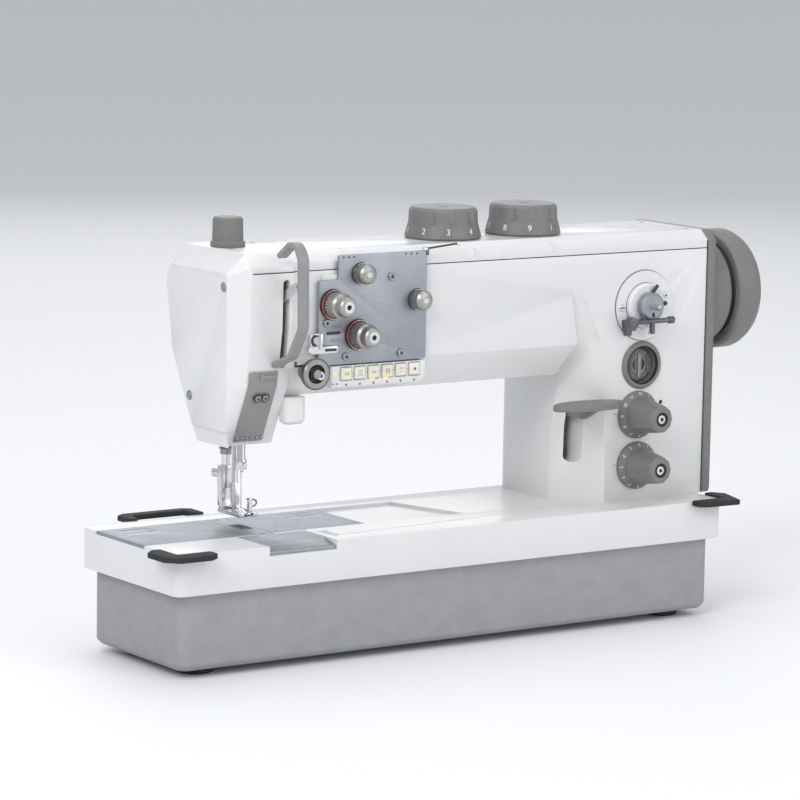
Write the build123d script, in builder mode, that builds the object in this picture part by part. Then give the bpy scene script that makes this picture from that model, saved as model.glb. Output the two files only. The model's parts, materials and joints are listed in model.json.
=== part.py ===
from build123d import *
from math import atan2, cos, sin
import os

os.makedirs("parts", exist_ok=True)

# ---------------------------------------------------------------- driving dimensions, mm
# Places are measured on the bed: x from its left edge, y from its front edge, z from its top.
bed_length = 595
bed_width = 166
bed_skirt = 36
bed_wall = 8
bed_top = 10

cushion_reach = 18
handwheel_face = 671
bracket_rear = 194
pan_floor = 104
pad_height = 7

gap = 0.3
running = 0.05

needle_x = 122.2
needle_y = 95
drive_y = 96
shaft_z = 186
lower_shaft_z = -72
needle_travel = 34

front_y = 40
rear_y = 150
seam_z = 232.5
roof_z = 249
casting_wall = 7
head_left = 95
head_right = 138
column_left = 452
column_right = 600
column_rear = 165

slide_low = 56
slide_high = 139.5
slide_thick = 2.5
plate_half = 9

# The origin stands under the middle of the whole machine, on the floor.
origin_x = (handwheel_face - cushion_reach) / 2
origin_y = (bracket_rear - cushion_reach) / 2
floor_z = -pan_floor - pad_height


# ---------------------------------------------------------------- planes and small helpers
def level(z, x=0, y=0):
    """A level plane, facing up."""
    return Plane(origin=(x - origin_x, y - origin_y, z - floor_z), x_dir=(1, 0, 0), z_dir=(0, 0, 1))


def front(y, x=0, z=0):
    """An upright plane facing the operator, with local axes x and z."""
    return Plane(origin=(x - origin_x, y - origin_y, z - floor_z), x_dir=(1, 0, 0), z_dir=(0, -1, 0))


def side(x, y=0, z=0):
    """An upright plane across the machine, facing right, with local axes y and z."""
    return Plane(origin=(x - origin_x, y - origin_y, z - floor_z), x_dir=(0, 1, 0), z_dir=(1, 0, 0))


def post(plane, radius, height, places=((0, 0),), mode=Mode.ADD):
    """Round posts, or holes, that stand on a plane."""
    with BuildSketch(plane) as outline:
        with Locations(*places):
            Circle(radius)
    extrude(outline.sketch, amount=height, mode=mode)


def block(plane, low, high, height, corner=0, mode=Mode.ADD):
    """A block between two corners of a plane, its upright edges rounded to corner."""
    with BuildSketch(plane) as outline:
        with Locations(((low[0] + high[0]) / 2, (low[1] + high[1]) / 2)):
            if corner:
                RectangleRounded(high[0] - low[0], high[1] - low[1], corner)
            else:
                Rectangle(high[0] - low[0], high[1] - low[1])
    extrude(outline.sketch, amount=height, mode=mode)


def slab(plane, points, height, corner=0, inset=0, mode=Mode.ADD):
    """A slab with a polygon outline, its corners rounded and then pulled in by inset."""
    with BuildSketch(plane) as outline:
        Polygon(*points, align=None)
        if corner:
            fillet(outline.vertices(), corner)
        if inset:
            offset(amount=-inset, kind=Kind.INTERSECTION)
    extrude(outline.sketch, amount=height, mode=mode)


def turned(plane, profile, mode=Mode.ADD):
    """A turned piece on the plane's normal, from points of radius and height."""
    half = Plane(origin=plane.origin, x_dir=plane.x_dir, z_dir=-plane.y_dir)
    with BuildSketch(half) as outline:
        Polygon(*profile, align=None)
    revolve(outline.sketch, axis=Axis(plane.origin, plane.z_dir), mode=mode)


def strip(plane, points, radius, thickness, width):
    """A bent strip, centred on the plane: a rounded line given thickness and width."""
    with BuildSketch(plane) as outline:
        with BuildLine() as middle:
            FilletPolyline(*points, radius=radius)
        trace(middle.line, line_width=thickness)
    extrude(outline.sketch, amount=width / 2, both=True)


def finish(piece, name):
    """Name a finished piece and write it."""
    piece.part.label = name
    export_step(piece.part, f"parts/{name}.step")


# ---------------------------------------------------------------- bed
hinge_places = ((92, -24), (520, -24))
hinge_radius = 5
hinge_depth = 26
guide_places = ((178, 24), (178, 42))
plate_ledge = 10
travel_end = 312
pan_inset = 7
front_plate_x = (93, 163)
front_plate_bend = 23
front_plate_drop = 5
belt_x = (554, 584)
belt_half = 40

with BuildPart() as bed:
    block(level(-bed_skirt), (0, 0), (bed_length, bed_width), bed_skirt, corner=9)
    chamfer(bed.edges().group_by(Axis.Z)[-1], 1)
    block(level(-bed_skirt), (bed_wall, bed_wall), (bed_length - bed_wall, bed_width - bed_wall),
          bed_skirt - bed_top, corner=6, mode=Mode.SUBTRACT)
    for x, z in hinge_places:
        block(front(bed_width - bed_wall, x, z), (-11, -12), (11, 15), hinge_depth - bed_wall + 4)
        post(front(bed_width, x, z), hinge_radius, hinge_depth, mode=Mode.SUBTRACT)
    # The grooves of the two slides, the seat of the needle plate and the hole below them
    block(level(-slide_thick - gap), (-1, slide_low), (needle_x, slide_high), 10, mode=Mode.SUBTRACT)
    slab(level(-slide_thick - gap), ((needle_x, slide_low), (travel_end + 26, slide_low),
                                     (travel_end, slide_high), (needle_x, slide_high)), 10,
         mode=Mode.SUBTRACT)
    block(level(-slide_thick - gap), (needle_x - plate_half, slide_low - 3),
          (needle_x + plate_half, slide_high), 10, mode=Mode.SUBTRACT)
    block(level(-20), (14, slide_low + plate_ledge), (216, slide_high - plate_ledge), 20,
          mode=Mode.SUBTRACT)
    # The stepped and sloping seat of the front plate
    slab(side(front_plate_x[0]), ((slide_low - 3, 1), (slide_low - 3, -3), (front_plate_bend - 1, -3),
                                  (-1, -front_plate_drop - 4), (-1, 1)),
         front_plate_x[1] - front_plate_x[0], mode=Mode.SUBTRACT)
    post(level(-20), 2.5, 20, guide_places, mode=Mode.SUBTRACT)
    block(level(-20), (belt_x[0], drive_y - belt_half), (belt_x[1], drive_y + belt_half), 20,
          mode=Mode.SUBTRACT)
finish(bed, "bed_casting")

with BuildPart() as pan:
    block(level(-pan_floor), (pan_inset, pan_inset), (bed_length - pan_inset, bed_width - pan_inset),
          pan_floor - bed_skirt, corner=14)
    chamfer(pan.edges().group_by(Axis.Z)[0], 5)
    block(level(-pan_floor + 4), (pan_inset + 4, pan_inset + 4),
          (bed_length - pan_inset - 4, bed_width - pan_inset - 4), pan_floor, corner=10,
          mode=Mode.SUBTRACT)
finish(pan, "oil_pan")

cushion_low = -3
cushion_thick = 5
pad_places = [(x, y) for x in (42, bed_length - 42) for y in (38, bed_width - 38)]
with BuildPart() as cushions:
    post(level(-pan_floor - pad_height), 16, pad_height, pad_places)
    chamfer(cushions.edges().group_by(Axis.Z)[0], 1.5)
    # Two corner cushions in front, bent round the bed's corners
    slab(level(cushion_low), ((-cushion_reach, 20), (-cushion_reach, -6), (-7, -cushion_reach),
                              (25, -cushion_reach), (33, -12), (33, 0), (0, 0), (0, 29), (-9, 29)),
         cushion_thick, corner=2)
    slab(level(cushion_low), ((bed_length - 38, 0), (bed_length - 38, -12), (bed_length - 30, -16),
                              (bed_length + 6, -cushion_reach), (bed_length + 17, 18),
                              (bed_length + 9, 29), (bed_length, 29), (bed_length, 0)),
         cushion_thick, corner=2)
    # Two hinge cushions behind, each a shallow bracket open towards the bed
    for x in (50, 482):
        slab(level(cushion_low), ((x, bed_width), (x + 9, bed_width), (x + 12, bracket_rear - 12),
                                  (x + 66, bracket_rear - 12), (x + 69, bed_width),
                                  (x + 78, bed_width), (x + 78, bracket_rear - 6),
                                  (x + 70, bracket_rear), (x + 8, bracket_rear),
                                  (x, bracket_rear - 6)), cushion_thick, corner=2)
finish(cushions, "rubber_cushions")

# ---------------------------------------------------------------- plates in the bed
slot_x = 6.2
slot_y = (83, 107)
grip_rows = 4
grip_columns = 11

with BuildPart() as needle_plate:
    block(level(-slide_thick - gap), (needle_x - plate_half, slide_low - 3),
          (needle_x + plate_half, slide_high), slide_thick + gap)
    block(level(-20), (needle_x - slot_x, slot_y[0]), (needle_x + slot_x, slot_y[1]), 30, corner=2,
          mode=Mode.SUBTRACT)
    with Locations(level(0)):
        with Locations((needle_x, slide_low + 2.5), (needle_x, slide_high - 5)):
            CounterSinkHole(1.7, 3)
finish(needle_plate, "needle_plate")


def slide_plate(name, x_low, x_high, grip_x):
    """A sliding bed cover with rows of finger grips pressed into its top."""
    with BuildPart() as cover:
        block(level(-slide_thick), (x_low, slide_low + gap), (x_high, slide_high - gap), slide_thick)
        with BuildSketch(level(0, grip_x, slide_high - 18)) as grips:
            with GridLocations(3, 5, grip_columns, grip_rows):
                Rectangle(1.2, 3.4)
        extrude(grips.sketch, amount=-0.6, mode=Mode.SUBTRACT)
    finish(cover, name)


slide_plate("left_slide_plate", 1, needle_x - plate_half - gap, 32)
slide_plate("right_slide_plate", needle_x + plate_half + gap, 229, 200)

with BuildPart() as front_plate:
    slab(side(front_plate_x[0] + gap), ((slide_low - 3, 0), (slide_low - 3, -3),
                                        (front_plate_bend - 1, -3), (2, -front_plate_drop - 3),
                                        (2, -front_plate_drop), (front_plate_bend, 0)),
         front_plate_x[1] - front_plate_x[0] - 2 * gap)
finish(front_plate, "front_bed_plate")

feed_hole = 2.4
with BuildPart() as feed_dog:
    block(level(-14), (needle_x - 5.2, 88), (needle_x + 5.2, 102), 13.2, corner=1)
    for row in range(-3, 4):
        with BuildSketch(side(needle_x - 6, needle_y + 2 * row, -0.8)) as groove:
            Polygon((-0.8, 0.2), (0.8, 0.2), (0, -0.9), align=None)
        extrude(groove.sketch, amount=12, mode=Mode.SUBTRACT)
    block(level(-14), (needle_x + 3, 89), (206, 101), 6, corner=1)
    post(level(-20), feed_hole, 30, ((needle_x, needle_y),), mode=Mode.SUBTRACT)
finish(feed_dog, "feed_dog")

# ---------------------------------------------------------------- arm, head and column
head_outline = ((37, 234), (38, 182), (45.6, 133), (64, 93), (71, 78), (105, 78), (118, 90),
                (152.5, 156), (160, 219), (158, 234))
head_foot = 92
arm_outline = ((front_y, seam_z), (front_y, 150), (58, 121), (126, 118), (rear_y - 4, 134),
               (rear_y, 150), (rear_y, seam_z))
web_x = (head_right, 342, 522)
web_thick = 12
bay_floor = 150
bay_front = 58
bearing_radius = 15
take_up_x = 130.7
take_up_slot = 3.5
frame_pivot_z = 225
lever_pivot = (62, 203)
presser_y = 121
bushing_radius = 5
spindle_radius = 6
reverse_x = 465.5
reverse_y = 66
winder_place = (525.5, 182.3)
sight_place = (524.5, 126.5)
dial_x = 521
dial_z = (80.3, 32.6)
dial_stem = 4
stitch_depth = 20
stitch_end = 1.5
plate_low_x = 163
plate_high_x = 277


# The hollow where the arm's front face runs down into the column, cut at six heights
with BuildPart() as hollow:
    for z, outer, middle, inner in (
        (-1, (436, 104), (470, 60), (490, 34)),
        (70, (436, 103), (469, 59), (488, 34)),
        (118, (437, 88), (464, 56), (484.5, 34)),
        (152, (449, 37), (461, 49), (477.5, 34)),
        (186, (441.5, 36), (451, 43.5), (465, 34)),
        (221, (431, 36), (432.5, 36.5), (434, 34)),
    ):
        with BuildSketch(level(z)):
            with BuildLine():
                ThreePointArc(outer, middle, inner)
                Polyline(inner, (inner[0], 12), (outer[0], 12), outer)
            make_face()
    loft(ruled=True)

with BuildPart() as arm:
    slab(side(head_right), arm_outline, column_right - head_right)
    slab(side(head_left), head_outline, head_right - head_left)
    # The foot of the head leans in below the face cover
    for x, foot in ((84, ((58, head_foot), (56, 79), (107, 79), (115.5, head_foot))),
                    (head_left, ((64, head_foot), (70, 78), (106, 78), (118.6, head_foot)))):
        with BuildSketch(side(x)):
            Polygon(*foot, align=None)
    loft(ruled=True)
    with BuildSketch(level(0)) as plan:
        Polygon((column_left, front_y), (column_right, front_y), (column_right, column_rear),
                (column_left, column_rear), align=None)
        fillet(plan.vertices().group_by(Axis.X)[0].sort_by(Axis.Y)[-1], 14)
    extrude(plan.sketch, amount=seam_z)
    block(level(seam_z), (head_left - 5, 0), (column_right + 5, 300), 20, mode=Mode.SUBTRACT)
    # Raised pads under the tension plate and the winder
    block(front(front_y), (plate_low_x + 5, 152), (plate_high_x - 5, 228), 2.5)
    # Hollow head, arm and column, parted by the webs that hold the bearings
    slab(side(head_left - 1), head_outline, head_right - head_left + 1, inset=casting_wall,
         mode=Mode.SUBTRACT)
    block(level(seam_z - 20), (head_left - 2, 46), (head_right, rear_y - casting_wall), 30,
          mode=Mode.SUBTRACT)
    bays = ((web_x[0] + web_thick, web_x[1]), (web_x[1] + web_thick, web_x[2]),
            (web_x[2] + web_thick, column_right - casting_wall))
    for low, high in bays:
        block(level(bay_floor), (low, bay_front), (high, rear_y - casting_wall), 100,
              mode=Mode.SUBTRACT)
    block(level(-1), (web_x[2] + web_thick, bay_front),
          (column_right - casting_wall, column_rear - casting_wall), bay_floor + 2,
          mode=Mode.SUBTRACT)
    post(side(head_right - 1, drive_y, shaft_z), bearing_radius, 400, mode=Mode.SUBTRACT)
    post(side(column_right - 20, drive_y, shaft_z), 18, 40, mode=Mode.SUBTRACT)
    # The way out for the bars, the take-up slot and the reverse lever's slot
    block(level(70), (needle_x - 12, 80), (needle_x + 8, 113), 60, mode=Mode.SUBTRACT)
    post(level(60), bushing_radius, 80, ((needle_x, presser_y),), mode=Mode.SUBTRACT)
    block(front(60), (take_up_x - take_up_slot, 148), (take_up_x + take_up_slot, 226), 40, corner=3.4,
          mode=Mode.SUBTRACT)
    add(hollow.part, mode=Mode.SUBTRACT)
    block(front(120), (reverse_x - 5.5, 36), (reverse_x + 5.5, 92), 90, corner=5.4, mode=Mode.SUBTRACT)
    block(front(122), (reverse_x - 9, 20), (reverse_x + 9, 104), 42, mode=Mode.SUBTRACT)
    # Holes for the spindles of the winder and the dials
    post(front(64, *winder_place), spindle_radius + running, 40, mode=Mode.SUBTRACT)
    for z in dial_z:
        post(front(60, dial_x, z), dial_stem + running, 40, mode=Mode.SUBTRACT)
    post(front(60, *sight_place), 19, 40, mode=Mode.SUBTRACT)
finish(arm, "arm_casting")

stroke_places = ((334, 93), (423, 92))
knob_place = (115, 110)
cover_wall = 3
knob_stem = 5

with BuildPart() as cover:
    roof = ((front_y, seam_z), (front_y, 240), (51, roof_z), (141, roof_z), (rear_y, 240),
            (rear_y, seam_z))
    slab(side(head_left), roof, column_right - head_left)
    slab(side(head_left), ((37.2, seam_z), (37.5, 238), (49, roof_z), (149, roof_z), (157.5, 240),
                           (158, seam_z)), head_right - head_left)
    slab(side(column_left), ((rear_y - 2, seam_z), (column_rear, seam_z), (column_rear, 237),
                             (158, 243), (rear_y - 2, 243)), column_right - column_left)
    slab(side(head_left + 1), roof, column_right - head_left - 2, inset=cover_wall, mode=Mode.SUBTRACT)
    block(level(seam_z - 1), (head_left + 1, front_y + cover_wall),
          (column_right - 1, rear_y - cover_wall), 5, mode=Mode.SUBTRACT)
    post(level(seam_z), spindle_radius + running, 30, stroke_places, mode=Mode.SUBTRACT)
    post(level(seam_z), knob_stem + running, 30, (knob_place,), mode=Mode.SUBTRACT)
finish(cover, "arm_top_cover")

face_left = 76
face_lean = 7
face_wall = 4
face_top = 233
face_foot = head_foot + gap
face_rim = ((37.2, 238), (38, 182), (45.6, 133), (63.5, face_foot), (118.6, face_foot), (152.5, 156),
            (160, 219), (157.5, 240), (149, roof_z), (49, roof_z))
face_flat = ((47.5, 231), (51.4, 180), (55, 133), (58, face_foot), (115, face_foot), (144, 156),
             (150, 217), (145, 229), (138, face_top), (49, face_top))
screw_places = ((54, 221), (118, 118))


def face_plane(depth=0):
    """The leaning plane of the face cover's flat, sunk by depth, with local axes y and z."""
    lean = atan2(face_lean, face_top - face_foot)
    return Plane(origin=side(face_left + depth + face_lean * face_top / (face_top - face_foot)).origin,
                 x_dir=(0, 1, 0), z_dir=(cos(lean), 0, sin(lean)))


def face_form(depth, inset, mode=Mode.ADD):
    """The loft from the leaning flat to the rim on the head, with wide facets between them."""
    ends = []
    for plane, corners in ((face_plane(depth), face_flat), (side(head_left), face_rim)):
        with BuildSketch(plane) as outline:
            Polygon(*corners, align=None)
            if inset:
                offset(amount=-inset, kind=Kind.INTERSECTION)
        ends.append(outline.sketch)
    loft(sections=ends, ruled=True, mode=mode)


with BuildPart() as face_cover:
    face_form(0, 0)
    face_form(face_wall, face_wall, Mode.SUBTRACT)
    for place in screw_places:
        with BuildSketch(face_plane()) as recess:
            with Locations(place):
                Circle(4.4)
        extrude(recess.sketch, amount=1.2, mode=Mode.SUBTRACT)
finish(face_cover, "face_cover")

plate_screws = ((239, 224), (171, 186), (191.6, 155.3), (250, 155.3))
with BuildPart() as screws:
    for place in screw_places:
        with BuildSketch(face_plane(-0.8)) as head:
            with Locations(place):
                Circle(4)
        extrude(head.sketch, amount=1.9)
    for x, z in plate_screws:
        post(front(35, x, z), 3.6, 1.8)
    chamfer(screws.edges().filter_by(GeomType.CIRCLE), 0.4)
finish(screws, "cover_screws")

with BuildPart() as side_plate:
    slab(side(97), ((43.6, 146), (45.6, 133), (64, 93), (69.1, 82), (67.3, 81.2), (62.1, 92.3),
                    (43.6, 132.5), (41.6, 146)), 29)
finish(side_plate, "head_side_plate")

with BuildPart() as light:
    block(level(96), (head_right, 47), (head_right + 22, 63), 24.6, corner=6)
    fillet(light.edges().group_by(Axis.Z)[0], 5)
finish(light, "sewing_light")

guard_width = 10
with BuildPart() as guard:
    strip(side(take_up_x - take_up_slot - guard_width / 2 + 2),
          ((36, 247), (12, 264), (1.5, 248), (0, 188), (16, 162), (43, 151)), 11, 4.5, guard_width)
finish(guard, "take_up_guard")

# ---------------------------------------------------------------- thread tension unit
plate_y = 35
post_radius = 2.2
main_places = ((177.5, 202.3), (204.2, 174.3))
small_places = ((206.5, 228.4), (267, 202.2))
spring_place = (152.5, 144)

with BuildPart() as tension_plate:
    slab(front(plate_y + 2.5), ((plate_low_x, 153), (167, 148.8), (plate_high_x, 148.8),
                                (plate_high_x, 245.5), (plate_low_x + 20, 245.5),
                                (plate_low_x + 20, 224), (plate_low_x, 224)), 2.5, corner=2.5)
    block(front(plate_y + 1, 178.5, 177), (-7.5, -1.3), (7.5, 1.3), 3, corner=1.2, mode=Mode.SUBTRACT)
finish(tension_plate, "tension_plate")

with BuildPart() as posts:
    for x, z in main_places:
        post(front(plate_y, x, z), post_radius, 25)
        post(front(plate_y, x, z), 5, 1)
    for x, z in small_places:
        post(front(plate_y, x, z), post_radius, 14)
        post(front(plate_y, x, z), 5, 1)
    for places, radius in ((main_places, 13.2), (small_places, 9.5)):
        for x, z in places:
            for y in (plate_y - 1, plate_y - 2.6):
                turned(front(y, x, z), ((post_radius + running, 0), (radius * 0.7, 0), (radius, 0.5),
                                        (radius, 1), (radius * 0.7, 1), (post_radius + running, 1)))
finish(posts, "tension_posts_and_discs")


def tension_knob(name, place, profile, flutes, flute_ring):
    """A fluted tension nut on its post."""
    with BuildPart() as knob:
        plane = front(plate_y - 4.2, *place)
        turned(plane, [(post_radius + running, 0)] + profile + [(post_radius + running, profile[-1][1])])
        with BuildSketch(plane) as grips:
            with PolarLocations(flute_ring, flutes):
                Circle(0.9)
        extrude(grips.sketch, amount=profile[2][1], mode=Mode.SUBTRACT)
    finish(knob, name)


main_profile = [(12, 0), (12, 2.5), (11.2, 11), (9.2, 13), (8.6, 20), (7.2, 21.5)]
small_profile = [(9.1, 0), (9.1, 5), (8.7, 7.5), (7, 9.5), (4, 10.5)]
tension_knob("upper_tension_knob", main_places[0], main_profile, 26, 12.2)
tension_knob("lower_tension_knob", main_places[1], main_profile, 26, 12.2)
tension_knob("upper_pretension_knob", small_places[0], small_profile, 22, 9.4)
tension_knob("right_pretension_knob", small_places[1], small_profile, 22, 9.4)

with BuildPart() as regulator:
    block(front(32.5), (150, 160), (181, 166), 2, corner=2.5)
    block(front(32.5), (152, 162), (163, 178), 2, corner=3)
    block(front(front_y), (154, 163), (161, 177), front_y - 32.5, corner=2)
    post(front(30.5, 157.5, 172), 4, 5)
    block(front(25.5, 157.5, 172), (-1.2, -7), (1.2, 7), 4, corner=1)
finish(regulator, "thread_regulator")

spring_ring = 7.4
with BuildPart() as housing:
    post(front(front_y, *spring_place), spring_ring - running, front_y - 26)
    post(front(26, *spring_place), 13.5, 5)
    chamfer(housing.faces().sort_by(Axis.Y)[0].edges(), 1)
    post(front(24, *spring_place), 8.5, 4, mode=Mode.SUBTRACT)
    post(front(26, *spring_place), 4, 6.5)
finish(housing, "check_spring_housing")

with BuildPart() as check_spring:
    post(front(31, *spring_place), spring_ring + 1.6, 1.6)
    block(front(31, *spring_place), (-17, 6), (0, 7.6), 1.6)
    block(front(31, *spring_place), (-17, 6), (-15.4, 11), 1.6)
    post(front(40, *spring_place), spring_ring, 20, mode=Mode.SUBTRACT)
finish(check_spring, "check_spring")

# ---------------------------------------------------------------- push buttons
panel_x = (176.7, 276)
panel_z = (128.3, 147.4)
panel_y = 34.5
button_z = 140.4
button_size = 10.8
button_pitch = 14.5
button_travel = 1.5
button_xs = [191.6 + button_pitch * index for index in range(6)]

with BuildPart() as panel:
    slab(side(panel_x[0]), ((panel_y, panel_z[1]), (panel_y, panel_z[0]), (52.5, panel_z[0]),
                            (41, panel_z[1])), panel_x[1] - panel_x[0])
    chamfer(panel.edges().filter_by(Axis.Y).group_by(Axis.Z)[0].sort_by(Axis.X)[-1], 5)
    for x in button_xs:
        half = button_size / 2 + gap
        block(front(panel_y + 6, x, button_z), (-half, -half), (half, half), 7, corner=1.2,
              mode=Mode.SUBTRACT)
finish(panel, "button_panel")

for index, x in enumerate(button_xs):
    with BuildPart() as button:
        half = button_size / 2
        block(front(panel_y + 4.2, x, button_z), (-half, -half), (half, half), 6.2, corner=1)
        chamfer(button.faces().sort_by(Axis.Y)[0].edges(), 0.6)
    finish(button, f"push_button_{index + 1}")

# ---------------------------------------------------------------- dials and knobs
for name, place in (("left_stroke_dial", stroke_places[0]), ("right_stroke_dial", stroke_places[1])):
    with BuildPart() as dial:
        turned(level(roof_z + gap, *place), ((0, 0), (34, 0), (35, 1.5), (32, 13), (31.3, 25),
                                             (28.6, 28), (0, 28)))
        with BuildSketch(level(roof_z + 14, *place)) as flutes:
            with PolarLocations(39, 10):
                Circle(8.6)
        extrude(flutes.sketch, amount=30, mode=Mode.SUBTRACT)
        post(level(roof_z + gap, *place), spindle_radius, -12)
    finish(dial, name)

with BuildPart() as pressure_knob:
    turned(level(roof_z + gap, *knob_place), ((0, 0), (15.4, 0), (15.4, 4), (13.8, 5), (13.4, 24),
                                              (12, 26), (0, 26)))
    with BuildSketch(level(roof_z + 6, *knob_place)) as flutes:
        with PolarLocations(14.3, 20):
            Circle(1.2)
    extrude(flutes.sketch, amount=30, mode=Mode.SUBTRACT)
    post(level(roof_z + gap, *knob_place), knob_stem, -10)
finish(pressure_knob, "pressure_knob")

for name, z in (("upper_stitch_dial", dial_z[0]), ("lower_stitch_dial", dial_z[1])):
    with BuildPart() as dial:
        turned(front(front_y - gap, dial_x, z), ((0, 0), (22.3, 0), (22.3, 2.5), (17.5, 6.5), (0, 6.5)))
        for y, radius in ((33.2, 17.2), (stitch_end, 12.6)):
            with BuildSketch(front(y, dial_x, z)):
                RegularPolygon(radius, 10)
        loft()
        chamfer(dial.faces().sort_by(Axis.Y)[0].edges(), 1.5)
        post(front(stitch_end + 1, dial_x, z), 6.6, 3, mode=Mode.SUBTRACT)
        post(front(front_y - gap, dial_x, z), dial_stem, -stitch_depth)
    finish(dial, name)

# ---------------------------------------------------------------- winder and oil sight
with BuildPart() as winder_plate:
    post(front(front_y, *winder_place), 32.5, 1.6)
    post(front(front_y, *winder_place), 21, 6.5)
    fillet(winder_plate.faces().sort_by(Axis.Y)[0].edges(), 2)
    post(front(60, *winder_place), spindle_radius + running, 60, mode=Mode.SUBTRACT)
finish(winder_plate, "winder_plate")

with BuildPart() as spindle:
    turned(front(62, *winder_place), ((0, 0), (spindle_radius, 0), (spindle_radius, 28.8),
                                      (10, 28.8), (13, 30.5), (13, 36), (11, 37.5), (2.6, 37.5),
                                      (2.6, 49), (2, 50), (0, 50)))
finish(spindle, "winder_spindle")

lever_pin = (499, 169.5)
with BuildPart() as winder_lever:
    post(front(27, *lever_pin), 5, 9)
    with BuildSketch(side(lever_pin[0], 22.5, lever_pin[1])) as rod:
        Circle(2.4)
    extrude(rod.sketch, amount=46)
    post(side(lever_pin[0] + 43, 22.5, lever_pin[1]), 3.4, 5)
    block(front(24, lever_pin[0] + 24, lever_pin[1] - 12), (-2, 0), (2, 12), 3, corner=1)
finish(winder_lever, "winder_lever")

with BuildPart() as bezel:
    turned(front(52, *sight_place), ((0, 0), (18.9, 0), (18.9, 12), (22.3, 12), (22.3, 13.4),
                                     (20.5, 14.8), (18.2, 14.8), (18.2, 11.4), (17.2, 11.4),
                                     (17.2, 2), (0, 2)))
    block(front(50, *sight_place), (-4, -12), (4, 12), 6, corner=3)
finish(bezel, "oil_sight_bezel")

with BuildPart() as lens:
    turned(front(40.6, *sight_place), ((0, 0), (18, 0), (18, 1.6), (0, 2.4)))
finish(lens, "oil_sight_lens")

# ---------------------------------------------------------------- reverse lever
pedal_place = (453, 25)
pedal_size = (38.5, 15.5)
pedal_z = 92
reverse_pin = (101, 83)

with BuildPart() as reverse:
    post(side(reverse_x - 4, *reverse_pin), 7, 8)
    slab(side(reverse_x - 3), ((104, 87), (104, 79), (46, 79), (30, pedal_z - 4),
                               (30, pedal_z + 1), (40, pedal_z + 1), (50, 87)), 6)
    with BuildSketch(level(pedal_z, *pedal_place)) as pedal:
        Ellipse(*pedal_size)
    extrude(pedal.sketch, amount=6)
    fillet(reverse.faces().sort_by(Axis.Z)[-1].edges(), 2.4)
finish(reverse, "reverse_lever")

# ---------------------------------------------------------------- right end
end_thick = 9
bulge_radius = 51
wheel_radius = 57
wheel_start = 642
shaft_radius = 8

with BuildPart() as end_cover:
    slab(side(column_right), ((front_y - 2, 0), (column_rear, 0), (column_rear, 237),
                              (rear_y, roof_z), (50, roof_z), (front_y - 2, 240)), end_thick, corner=5)
    post(side(column_right, drive_y, shaft_z), bulge_radius, wheel_start - 4 - column_right)
    fillet(end_cover.faces().sort_by(Axis.X)[-1].edges(), 6)
    post(side(column_right - 1, drive_y, shaft_z), 14, 60, mode=Mode.SUBTRACT)
    post(side(column_right - 1, drive_y, shaft_z), bulge_radius - 4, wheel_start - 8 - column_right,
         mode=Mode.SUBTRACT)
finish(end_cover, "end_cover")

with BuildPart() as handwheel:
    turned(side(wheel_start, drive_y, shaft_z),
           ((shaft_radius, -2), (13, -2), (13, 2), (46, 4), (47, 0), (54, 0), (wheel_radius, 4),
            (wheel_radius, 20), (53, 27), (48, handwheel_face - wheel_start),
            (24, handwheel_face - wheel_start), (22, 24), (shaft_radius, 24)))
finish(handwheel, "handwheel")

pulley_x = 569
pulley_radius = 20
pulley_width = 18
crank_radius = 18
with BuildPart() as arm_shaft:
    post(side(head_right - 7, drive_y, shaft_z), shaft_radius, wheel_start + 22 - head_right + 7)
    post(side(head_right - 6.5, drive_y, shaft_z), crank_radius, 6.2)
    post(side(head_right - 9.5, drive_y, shaft_z + 12), 3.5, 4)
    post(side(pulley_x - pulley_width / 2, drive_y, shaft_z), pulley_radius, pulley_width)
finish(arm_shaft, "arm_shaft")

with BuildPart() as lower_shaft:
    post(side(88, drive_y, lower_shaft_z), 7, 492)
    post(side(pulley_x - pulley_width / 2, drive_y, lower_shaft_z), pulley_radius, pulley_width)
    turned(side(118, drive_y, lower_shaft_z), ((7, 0), (12, 0), (15, -4), (15, -6), (7, -6)))
finish(lower_shaft, "lower_shaft")

belt_thick = 3
with BuildPart() as belt:
    span = shaft_z - lower_shaft_z
    middle = (shaft_z + lower_shaft_z) / 2
    inner = pulley_radius + gap
    with BuildSketch(side(pulley_x - 8, drive_y, middle)) as loop:
        SlotOverall(span + 2 * (inner + belt_thick), 2 * (inner + belt_thick), rotation=90)
        SlotOverall(span + 2 * inner, 2 * inner, rotation=90, mode=Mode.SUBTRACT)
    extrude(loop.sketch, amount=16)
finish(belt, "toothed_belt")

hanger_xs = (226, 524)
pivot_radius = 4
with BuildPart() as bearings:
    for x in web_x:
        turned(side(x, drive_y, shaft_z), ((shaft_radius + running, 0), (bearing_radius, 0),
                                           (bearing_radius, web_thick),
                                           (shaft_radius + running, web_thick)))
    for x in hanger_xs:
        block(level(lower_shaft_z - 13, x, drive_y), (0, -16), (14, 16), 13 - bed_top - lower_shaft_z,
              corner=3)
        post(side(x - 1, drive_y, lower_shaft_z), 7 + running, 20, mode=Mode.SUBTRACT)
    # Pins in the head's web for the swinging frame and the take-up lever, and the bar's bushing
    post(side(head_right, needle_y, frame_pivot_z), pivot_radius, -36)
    post(side(head_right, *lever_pivot), pivot_radius, -12)
    post(level(62, needle_x, presser_y), bushing_radius, 50)
    post(level(60, needle_x, presser_y), 3.8 + running, 60, mode=Mode.SUBTRACT)
finish(bearings, "bushings_and_pins")

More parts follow.
